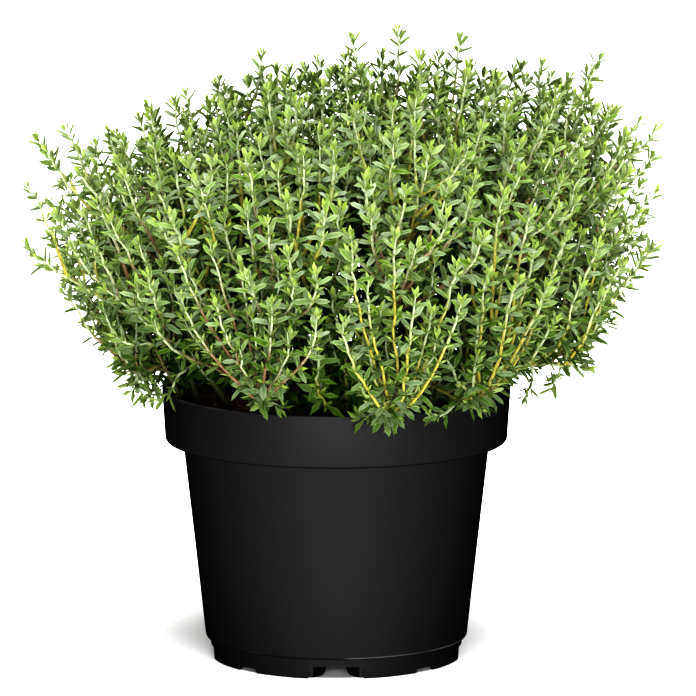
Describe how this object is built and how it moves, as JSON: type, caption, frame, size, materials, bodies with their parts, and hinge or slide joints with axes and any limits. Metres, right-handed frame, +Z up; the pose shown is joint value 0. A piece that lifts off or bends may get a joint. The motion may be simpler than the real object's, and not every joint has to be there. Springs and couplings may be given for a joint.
{
  "type": "potted thyme",
  "caption": "Bushy thyme plant of many leafy stems growing from soil in a round tapered nursery pot with a banded rim and a notched foot.",
  "frame": {"origin": "on the pot's axis, at the surface that the pot stands on", "axes": "+Z up along the pot's axis, -Y towards the front notch of the foot, which faces the camera in the picture, +X to the right"},
  "size_m": [0.2354, 0.2225, 0.2404],
  "materials": {
    "pot": "satin black moulded plastic",
    "soil": "matt crumbly dark brown potting soil",
    "foliage": "soft satin green leaves on stems that run from brown at the soil to yellow green at the tips"
  },
  "bodies": {
    "root": {"pot": "pot", "potting_soil": "soil", "thyme_stem_01": "foliage", "thyme_stem_02": "foliage", "thyme_stem_03": "foliage", "thyme_stem_04": "foliage", "thyme_stem_05": "foliage", "thyme_stem_06": "foliage", "thyme_stem_07": "foliage", "thyme_stem_08": "foliage", "thyme_stem_09": "foliage", "thyme_stem_10": "foliage", "thyme_stem_11": "foliage", "thyme_stem_12": "foliage", "thyme_stem_13": "foliage", "thyme_stem_14": "foliage", "thyme_stem_15": "foliage", "thyme_stem_16": "foliage", "thyme_stem_17": "foliage", "thyme_stem_18": "foliage", "thyme_stem_19": "foliage", "thyme_stem_20": "foliage", "thyme_stem_21": "foliage", "thyme_stem_22": "foliage", "thyme_stem_23": "foliage", "thyme_stem_24": "foliage", "thyme_stem_25": "foliage", "thyme_stem_26": "foliage", "thyme_stem_27": "foliage", "thyme_stem_28": "foliage", "thyme_stem_29": "foliage", "thyme_stem_30": "foliage", "thyme_stem_31": "foliage", "thyme_stem_32": "foliage", "thyme_stem_33": "foliage", "thyme_stem_34": "foliage", "thyme_stem_35": "foliage", "thyme_stem_36": "foliage", "thyme_stem_37": "foliage", "thyme_stem_38": "foliage", "thyme_stem_39": "foliage", "thyme_stem_40": "foliage", "thyme_stem_41": "foliage", "thyme_stem_42": "foliage", "thyme_stem_43": "foliage", "thyme_stem_44": "foliage"}
  },
  "joints": []
}
